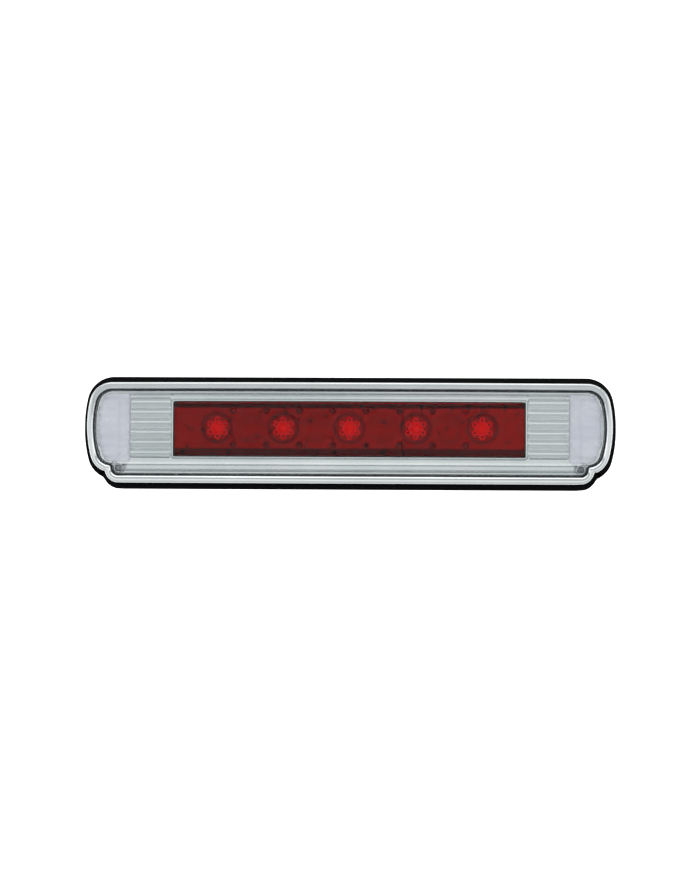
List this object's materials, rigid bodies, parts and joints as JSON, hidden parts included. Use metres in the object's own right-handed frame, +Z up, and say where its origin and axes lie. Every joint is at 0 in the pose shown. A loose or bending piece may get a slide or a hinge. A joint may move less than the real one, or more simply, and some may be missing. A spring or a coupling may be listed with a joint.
{
  "type": "third brake light",
  "caption": "Wide bowed third brake light for a pickup cab: chromed reflector under a clear cover, red lens over an LED row, fluted cargo lamps at both ends.",
  "frame": {"origin": "centre of the gasket's rear face, on the cab's panel", "axes": "+X across the vehicle, to the right when the lens is seen from in front; +Y into the cab; +Z up; the lens faces -Y"},
  "size_m": [0.3902, 0.067, 0.0826],
  "materials": {
    "foam_rubber": "matt closed-cell foam",
    "black_plastic": "fine moulded texture",
    "chrome_plating": "mirror, vacuum metallised under a clear lacquer",
    "clear_cover": "polished clear polycarbonate",
    "black_sealant": "satin cured sealant",
    "red_lens": "polished red acrylic",
    "frosted_lens": "milky fluted polycarbonate",
    "grey_tray": "satin metallised plastic",
    "zinc_steel": "zinc plated",
    "board_laminate": "solder mask over glass laminate",
    "red_led": "tinted epoxy",
    "clear_optic": "polished clear acrylic",
    "tinned_brass": "bright",
    "soft_rubber": "satin moulded rubber",
    "holder_plastic": "satin glass-filled nylon",
    "bulb_glass": "clear lamp glass",
    "tungsten": "drawn wire"
  },
  "bodies": {
    "lamp": {"gasket": "foam_rubber", "housing": "black_plastic", "bezel": "chrome_plating", "cover_lens": "clear_cover", "cover_seal": "black_sealant", "brake_lens": "red_lens", "brake_lens_seal": "black_sealant", "cargo_lens_left": "frosted_lens", "cargo_lens_right": "frosted_lens", "reflector_tray": "grey_tray", "tray_screws": "zinc_steel", "led_board": "board_laminate", "leds": "red_led", "led_optics": "clear_optic", "board_resistors": "black_plastic", "board_diode": "black_plastic", "board_screws": "zinc_steel", "connector_header": "black_plastic", "connector_pins": "tinned_brass", "connector_seal": "soft_rubber", "housing_screws": "zinc_steel", "screw_sleeves": "zinc_steel", "vent_plug": "soft_rubber"},
    "holder_left": {"bulb_holder_left": "holder_plastic", "holder_seal_left": "soft_rubber", "holder_terminals_left": "tinned_brass", "bulb_left": "bulb_glass", "filament_left": "tungsten"},
    "holder_right": {"bulb_holder_right": "holder_plastic", "holder_seal_right": "soft_rubber", "holder_terminals_right": "tinned_brass", "bulb_right": "bulb_glass", "filament_right": "tungsten"}
  },
  "joints": [
    {"name": "holder_left_twist", "type": "hinge", "parent": "lamp", "child": "holder_left", "pos_m": [-0.1714, 0.024, 0.00515], "axis": [0, 1, 0], "range_deg": [0, 45]},
    {"name": "holder_right_twist", "type": "hinge", "parent": "lamp", "child": "holder_right", "pos_m": [0.1714, 0.024, 0.00515], "axis": [0, 1, 0], "range_deg": [0, 45]}
  ]
}
